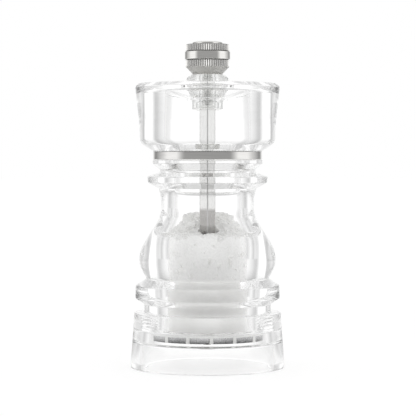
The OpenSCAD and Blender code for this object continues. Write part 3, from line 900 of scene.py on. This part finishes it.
@dataclass
class Salt:
    """Coarse salt in the bore: a packed heart with loose crystals round and over it."""

    seed: int = 11
    wall_gap: float = 0.1
    shell: float = 0.8
    hole_r: float = 3.5
    slope_r: float = 12.0
    ray_start: float = 10.0
    floor_gap: float = 0.02
    columns: int = 72
    # Rings over the heart's top, as shares of the way from its rim to the hole
    rings: tuple[float, ...] = (0.0, 0.12, 0.3, 0.5, 0.75, 1.0)
    count: int = 1500
    one_on_top_in: int = 4
    lowest: float = 0.7
    hole_gap: float = 0.3
    wall_depth: Span = (0.3, 1.2)
    top_depth: Span = (0.3, 1.6)
    size: Span = (1.5, 3.8)
    shapes: int = 8
    chip: float = 0.12
    skew: float = 0.09
    width: Span = (0.6, 1.0)
    thickness: Span = (0.45, 0.9)
    largest_turn: float = 6.28

    @cached_property
    def solid(self) -> BVHTree:
        """The CAD fill, whose lumpy top the crystals lie on."""
        return surface_of("salt_fill")

    @cached_property
    def bore(self) -> BVHTree:
        """The CAD body, whose bore holds the crystals."""
        return surface_of("body_shell")

    def wall(self, height: float) -> float:
        """How far out the crystals may reach at a height: the bore's radius less the gap."""
        hit = self.bore.ray_cast(Vector((0, 0, height * MM)), Vector((1, 0, 0)))
        return hit[3] / MM - self.wall_gap

    def top(self, radius: float, angle: float) -> float:
        """Height of the heap at a place.

        Args:
            radius: distance from the axis.
            angle: angle round the axis.

        Returns:
            The height.
        """
        start = level("salt_fill", True) + self.ray_start
        above = Vector((radius * math.cos(angle), radius * math.sin(angle), start))
        hit = self.solid.ray_cast(above * MM, Vector((0, 0, -1)))[0]
        return hit.z / MM

    def rim(self, angle: float) -> float:
        """Radius of the heart's upper rim at an angle round the axis."""
        return self.wall(self.top(self.slope_r, angle)) - self.shell

    def heart(self) -> None:
        """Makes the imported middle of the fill, whose rings follow the heap a little below its top."""
        low = level("salt_fill", False) + self.floor_gap
        bm = bmesh.new()
        columns = []
        for i in range(self.columns):
            angle = 2 * math.pi * i / self.columns
            rim = self.rim(angle)
            spots = [(self.hole_r, low), (self.wall(low) - self.shell, low)]
            for share in self.rings:
                radius = rim + (self.hole_r - rim) * share
                spots.append((radius, self.top(radius, angle) - self.shell))
            columns.append([bm.verts.new((r * math.cos(angle), r * math.sin(angle), z)) for r, z in spots])
        for one, other in zip(columns, columns[1:] + columns[:1]):
            for i in range(len(one)):
                j = (i + 1) % len(one)
                bm.faces.new((one[i], one[j], other[j], other[i]))
        dress(finish_mesh("salt_packed", bm), SALT_HEART, Group.MILL, "salt", "salt_fill")

    def crystal_shapes(self, chance: random.Random) -> list[Mesh]:
        """Makes a few chipped cubes that the crystals are copies of.

        Args:
            chance: source of random numbers.

        Returns:
            The meshes, about one millimetre across.
        """
        shapes = []
        for i in range(self.shapes):
            bm = bmesh.new()
            bmesh.ops.create_cube(bm, size=1.0)
            bmesh.ops.bevel(bm, geom=list(bm.edges), offset=self.chip, offset_type="OFFSET",
                            segments=1, profile=0.5, affect="EDGES", material=-1)
            for vert in bm.verts:
                vert.co += Vector([chance.uniform(-self.skew, self.skew) for _ in range(3)])
            flat = (1, chance.uniform(*self.width), chance.uniform(*self.thickness))
            bmesh.ops.scale(bm, verts=bm.verts, vec=flat)
            shapes.append(to_mesh(f"crystal_shape_{i}", bm))
        return shapes

    def spots(self, chance: random.Random) -> list[Vector]:
        """Places of the crystals, against the wall and over the top.

        Args:
            chance: source of random numbers.

        Returns:
            One point for each crystal.
        """
        low = level("salt_fill", False) + self.lowest
        spots = []
        while len(spots) < self.count:
            angle = chance.uniform(0, 2 * math.pi)
            if len(spots) % self.one_on_top_in:
                height = chance.uniform(low, self.top(self.slope_r, angle))
                radius = self.wall(height) - chance.uniform(*self.wall_depth)
            else:
                near = self.hole_r + self.hole_gap
                radius = math.sqrt(chance.uniform(near ** 2, self.rim(angle) ** 2))
                height = self.top(radius, angle) - chance.uniform(*self.top_depth)
            spots.append(Vector((radius * math.cos(angle), radius * math.sin(angle), height)))
        return spots

    def crystals(self) -> None:
        """Makes all the crystals as one mesh, which stays inside the bore and off the spindle."""
        chance = random.Random(self.seed)
        shapes = self.crystal_shapes(chance)
        bm = bmesh.new()
        for spot in self.spots(chance):
            size = chance.uniform(*self.size)
            angle = chance.uniform(0, self.largest_turn)
            axis = Vector([chance.uniform(-1, 1) for _ in range(3)]).normalized()
            turn = Matrix.Rotation(angle, 4, axis)
            crystal = chance.choice(shapes).copy()
            crystal.transform(Matrix.Translation(spot) @ turn @ Matrix.Scale(size, 4))
            bm.from_mesh(crystal)
            bpy.data.meshes.remove(crystal)
        for shape in shapes:
            bpy.data.meshes.remove(shape)
        for vert in bm.verts:
            place = vert.co.xy.length
            vert.co.xy *= min(max(place, self.hole_r), self.wall(vert.co.z)) / place
        bmesh.ops.scale(bm, vec=(MM, MM, MM), verts=bm.verts)
        piece = add_object("salt_crystals", to_mesh("salt_crystals", bm))
        dress(piece, SALT, Group.MILL, "salt", "salt_fill")

    def build(self) -> None:
        """Makes and dresses the fill."""
        self.heart()
        self.crystals()


@dataclass
class Studio:
    """White floor, tents of light with grey flags, and the camera."""

    camera_distance: float = 730.0
    camera_height: float = 81.0
    camera_side: float = 0.19
    frame_width: float = 160.0
    frame_centre_z: float = 61.15
    sensor: float = 36.0
    clip_m: Span = (0.01, 20.0)
    floor_size: float = 6000.0
    # Light that the floor scatters to the mill, and to the camera beside its own glow
    paper_grey: float = 0.97
    faint_grey: float = 0.22
    floor_glow: float = 0.79
    # Distances between which the floor becomes a tent, in mirrors and through clear walls
    floor_fade: Span = (35.0, 90.0)
    # What clear pieces show: degrees from the tent's back or front, and its brightness there
    seen_through: Stops = (
        (0, 1.0), (20, 1.0), (27, 0.76), (35, 0.64), (45, 0.7), (51, 0.52), (62, 0.83),
        (74, 0.6), (84, 0.9), (90, 1.0))
    # The same after a mirror-like turn inside a clear wall, in degrees from the back
    turned_back: Stops = (
        (0, 1.0), (20, 1.0), (29, 0.72), (36, 0.52), (44, 0.54), (52, 0.66), (74, 0.9), (86, 1.0),
        (112, 1.0), (131, 0.62), (180, 0.62))
    # What shiny surfaces mirror, in degrees from the back
    mirrored: Stops = (
        (0, 0.85), (22, 0.85), (32, 0.4), (40, 0.26), (50, 0.4), (60, 0.55), (74, 0.75),
        (86, 1.0), (112, 1.0), (123, 0.6), (131, 0.36), (180, 0.36))
    # How far the tent darkens towards straight up and straight down, as clear pieces show it
    gloom: float = 0.45
    gloom_span: Span = (0.2, 0.8)
    # What lights pieces behind clear walls: plain from back and sides, darker from in front
    inside: Stops = ((0, 1.0), (95, 1.0), (180, 0.32))
    through_strength: float = 1.15
    mirror_strength: float = 1.15
    inside_strength: float = 1.0
    # Rays cross many clear walls before they reach a tent
    bounces: tuple[tuple[str, int], ...] = (
        ("max", 40), ("transmission", 32), ("glossy", 24), ("diffuse", 12))

    def camera(self) -> None:
        """Sets a level camera in front of the mill, shifted to frame it."""
        data = bpy.data.cameras.new("camera")
        data.sensor_width = self.sensor
        data.lens = self.sensor * self.camera_distance / self.frame_width
        data.shift_y = (self.frame_centre_z - self.camera_height) / self.frame_width
        data.clip_start, data.clip_end = self.clip_m
        camera = add_object("camera", data)
        camera.location = Vector((self.camera_side, -self.camera_distance, self.camera_height)) * MM
        camera.rotation_euler = (math.pi / 2, 0, 0)
        bpy.context.scene.camera = camera

    def tent(self, tree: NodeTree, place: NodeSocket, fold: bool, stops: Stops) -> Node:
        """Grey that changes with the direction round the Z axis.

        Args:
            tree: node tree to add to.
            place: direction or position to read.
            fold: True where front and back are alike.
            stops: angle from the back in degrees, and brightness there.

        Returns:
            The node that gives the colour.
        """
        parts = add_node(tree, "SeparateXYZ", {}, {"Vector": place})
        side = add_node(tree, "Math", {"operation": "ABSOLUTE"}, {"0": parts.outputs["X"]})
        along = parts.outputs["Y"]
        if fold:
            along = add_node(tree, "Math", {"operation": "ABSOLUTE"}, {"0": along})
        turn = add_node(tree, "Math", {"operation": "ARCTAN2"}, {"0": side, "1": along})
        share = add_node(tree, "Math", {"operation": "DIVIDE", "1": math.pi}, {"0": turn})
        ramp = add_node(tree, "ValToRGB", {}, {"Fac": share})
        points = ramp.color_ramp.elements
        while len(points) < len(stops):
            points.new(0.5)
        for point, (angle, value) in zip(points, stops):
            point.position = angle / 180
            point.color = (value, value, value, 1)
        return ramp

    def darken(self, tree: NodeTree, look: NodeSocket, colour: Node) -> Node:
        """Darkens the tent towards straight up and straight down.

        Args:
            tree: node tree to add to.
            look: direction to read.
            colour: the tent's colour.

        Returns:
            The node that gives the darkened colour.
        """
        height = add_node(tree, "SeparateXYZ", {}, {"Vector": look}).outputs["Z"]
        steep = add_node(tree, "Math", {"operation": "ABSOLUTE"}, {"0": height})
        share = add_node(tree, "MapRange", {
            "From Min": self.gloom_span[0], "From Max": self.gloom_span[1],
            "To Min": 1.0, "To Max": 1 - self.gloom}, {"Value": steep})
        return add_node(tree, "VectorMath", {"operation": "SCALE"}, {"0": colour, "Scale": share})

    def world(self) -> None:
        """Sets a tent for each kind of ray that has met the mill, and plain white for the others."""
        world = bpy.data.worlds.new("tent")
        world.use_nodes = True
        tree = world.node_tree
        tree.nodes.clear()
        look = add_node(tree, "TexCoord").outputs["Generated"]
        path = add_node(tree, "LightPath")
        plain = add_node(tree, "Background", {"Color": (1, 1, 1, 1), "Strength": 1.0})
        through_tent = self.darken(tree, look, self.tent(tree, look, True, self.seen_through))
        turned_tent = self.darken(tree, look, self.tent(tree, look, False, self.turned_back))
        mirror, through, turned, inside = (
            add_node(tree, "Background", {"Strength": strength}, {"Color": colour})
            for strength, colour in (
                (self.mirror_strength, self.tent(tree, look, False, self.mirrored)),
                (self.through_strength, through_tent), (self.through_strength, turned_tent),
                (self.inside_strength, self.tent(tree, look, False, self.inside))))
        glossy, matt = (
            add_node(tree, "Math", {"operation": "MINIMUM", "1": 1}, {"0": path.outputs[name]})
            for name in ("Glossy Depth", "Diffuse Depth"))
        glass = choose(tree, through, (glossy, turned), (matt, inside))
        seen = choose(tree, plain, (path.outputs["Is Glossy Ray"], mirror),
                      (path.outputs["Is Transmission Ray"], glass),
                      (path.outputs["Is Camera Ray"], plain))
        add_node(tree, "OutputWorld", {}, {"Surface": seen})
        bpy.context.scene.world = world

    def floor(self) -> None:
        """Makes a white floor that keeps the mill's shadow, and shows the tents' flags far off."""
        bm = bmesh.new()
        bmesh.ops.create_grid(bm, x_segments=1, y_segments=1, size=self.floor_size * MM)
        floor = add_object("floor", to_mesh("floor", bm))
        material, tree = blank_material("floor_paper")
        path = add_node(tree, "LightPath")
        place = add_node(tree, "TexCoord").outputs["Object"]
        paper, faint = (add_node(tree, "BsdfDiffuse", {"Color": (grey, grey, grey, 1)})
                        for grey in (self.paper_grey, self.faint_grey))
        lift = add_node(tree, "Emission", {"Strength": self.floor_glow})
        lit = add_node(tree, "AddShader", {}, {"0": faint, "1": lift})
        far = add_node(tree, "Emission", {"Strength": self.through_strength},
                       {"Color": self.tent(tree, place, True, self.seen_through)})
        mirror = add_node(tree, "Emission", {"Strength": self.mirror_strength},
                          {"Color": self.tent(tree, place, False, self.mirrored)})
        reach = add_node(tree, "VectorMath", {"operation": "LENGTH"}, {"0": place})
        away = add_node(tree, "MapRange", {
            "From Min": self.floor_fade[0] * MM, "From Max": self.floor_fade[1] * MM},
                        {"Value": reach.outputs["Value"]})
        seen = choose(tree, paper,
                      (path.outputs["Is Glossy Ray"], choose(tree, paper, (away, mirror))),
                      (path.outputs["Is Transmission Ray"], choose(tree, lit, (away, far))),
                      (path.outputs["Is Camera Ray"], lit))
        add_node(tree, "OutputMaterial", {}, {"Surface": seen})
        floor.data.materials.append(material)

    def build(self) -> None:
        """Sets up the studio."""
        scene = bpy.context.scene
        scene.view_settings.view_transform = "Standard"
        for kind, count in self.bounces:
            setattr(scene.cycles, f"{kind}_bounces", count)
        # Clear walls stay sharp to rays that have met a matt surface
        scene.cycles.blur_glossy = 0.0
        self.camera()
        self.world()
        self.floor()


def main() -> None:
    """Builds the studio and the mill."""
    logging.basicConfig(level=logging.INFO, format="%(name)s: %(message)s")
    Studio().build()
    ClearBody().build()
    Head().build()
    Knob().build()
    Grinder().build()
    Salt().build()


if __name__ == "__main__":
    main()
